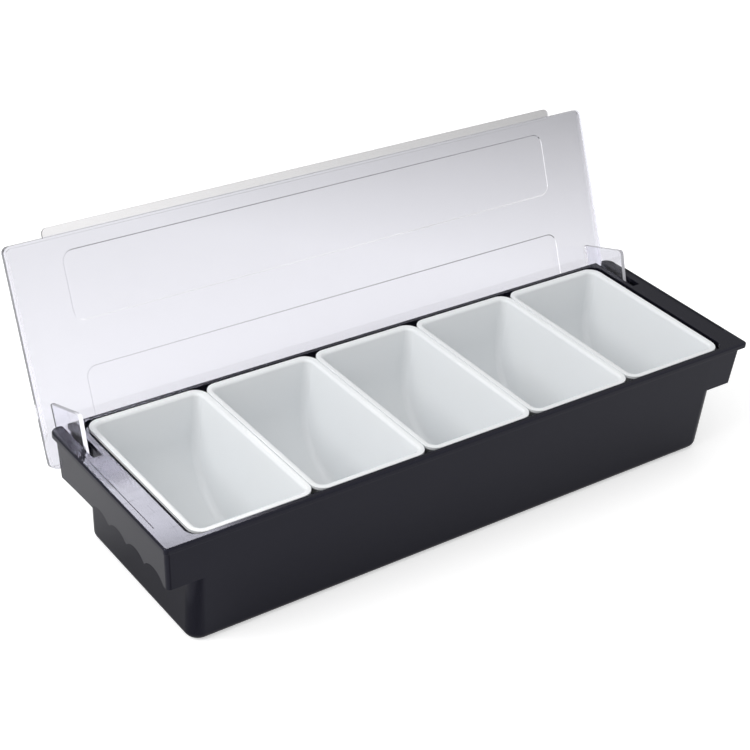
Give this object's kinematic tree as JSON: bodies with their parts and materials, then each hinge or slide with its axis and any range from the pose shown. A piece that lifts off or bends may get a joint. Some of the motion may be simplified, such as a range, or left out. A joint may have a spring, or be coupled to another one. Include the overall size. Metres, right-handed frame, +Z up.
{
  "type": "condiment caddy",
  "caption": "Long bar condiment caddy: a deep tapered base with end flanges and finger grips, lift-out rectangular inserts side by side, and one hinged lid with a finger strip.",
  "frame": {"origin": "centre of the base's flat underside, on the surface that the caddy stands on", "axes": "+X along the row of inserts, +Y from the front edge towards the hinge side, +Z up"},
  "size_m": [0.495, 0.2158, 0.1996],
  "materials": {
    "base_plastic": "black injection-moulded plastic, semi-gloss",
    "insert_plastic": "white injection-moulded plastic, semi-gloss",
    "lid_plastic": "clear injection-moulded plastic, polished"
  },
  "bodies": {
    "base": {"base": "base_plastic"},
    "lid": {"lid": "lid_plastic"},
    "insert_1": {"insert_1": "insert_plastic"},
    "insert_2": {"insert_2": "insert_plastic"},
    "insert_3": {"insert_3": "insert_plastic"},
    "insert_4": {"insert_4": "insert_plastic"},
    "insert_5": {"insert_5": "insert_plastic"}
  },
  "joints": [
    {"name": "lid_hinge", "type": "hinge", "parent": "base", "child": "lid", "pos_m": [0, 0.0643, 0.0756], "axis": [-1, 0, 0], "range_deg": [-114, 0]},
    {"name": "insert_1_lift", "type": "slide", "parent": "base", "child": "insert_1", "axis": [0, 0, 1], "range_m": [0, 0.1]},
    {"name": "insert_2_lift", "type": "slide", "parent": "base", "child": "insert_2", "axis": [0, 0, 1], "range_m": [0, 0.1]},
    {"name": "insert_3_lift", "type": "slide", "parent": "base", "child": "insert_3", "axis": [0, 0, 1], "range_m": [0, 0.1]},
    {"name": "insert_4_lift", "type": "slide", "parent": "base", "child": "insert_4", "axis": [0, 0, 1], "range_m": [0, 0.1]},
    {"name": "insert_5_lift", "type": "slide", "parent": "base", "child": "insert_5", "axis": [0, 0, 1], "range_m": [0, 0.1]}
  ]
}
